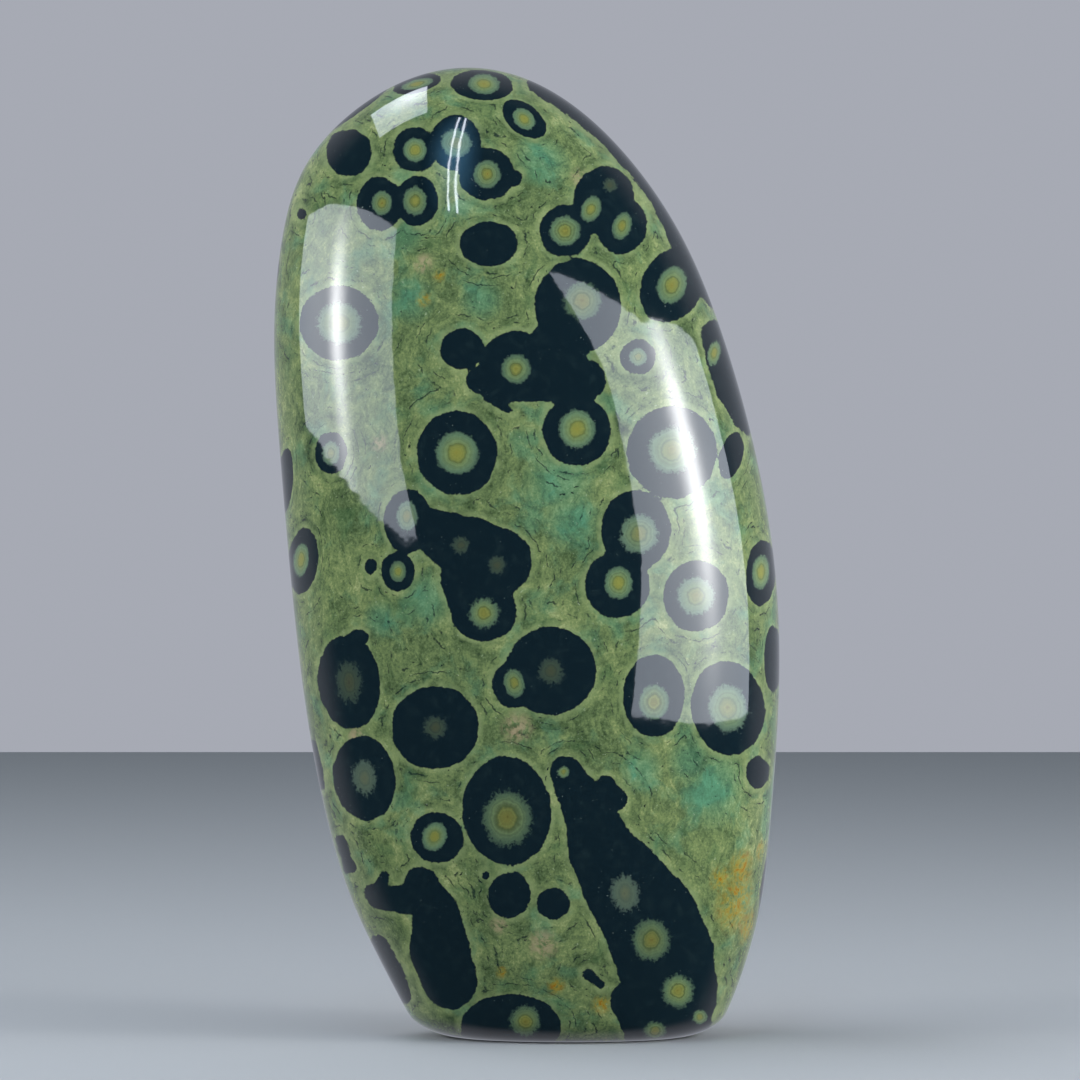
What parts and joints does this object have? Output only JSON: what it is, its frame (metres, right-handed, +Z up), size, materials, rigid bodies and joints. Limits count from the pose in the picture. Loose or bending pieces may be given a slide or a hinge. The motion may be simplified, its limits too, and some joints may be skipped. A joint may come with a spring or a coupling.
{
  "type": "kambaba jasper freeform",
  "caption": "Tall flattened freeform of polished green stone with black orbs, standing on a small flat ground.",
  "frame": {"origin": "on the ground plane, under the centre of the bounding box", "axes": "+Z up, the stone's longest way; -Y out of the broad front face; +X to the right seen from the front"},
  "size_m": [0.0828, 0.0518, 0.1588],
  "materials": {
    "kambaba_jasper": "high polish"
  },
  "bodies": {
    "root": {"stone": "kambaba_jasper"}
  },
  "joints": []
}
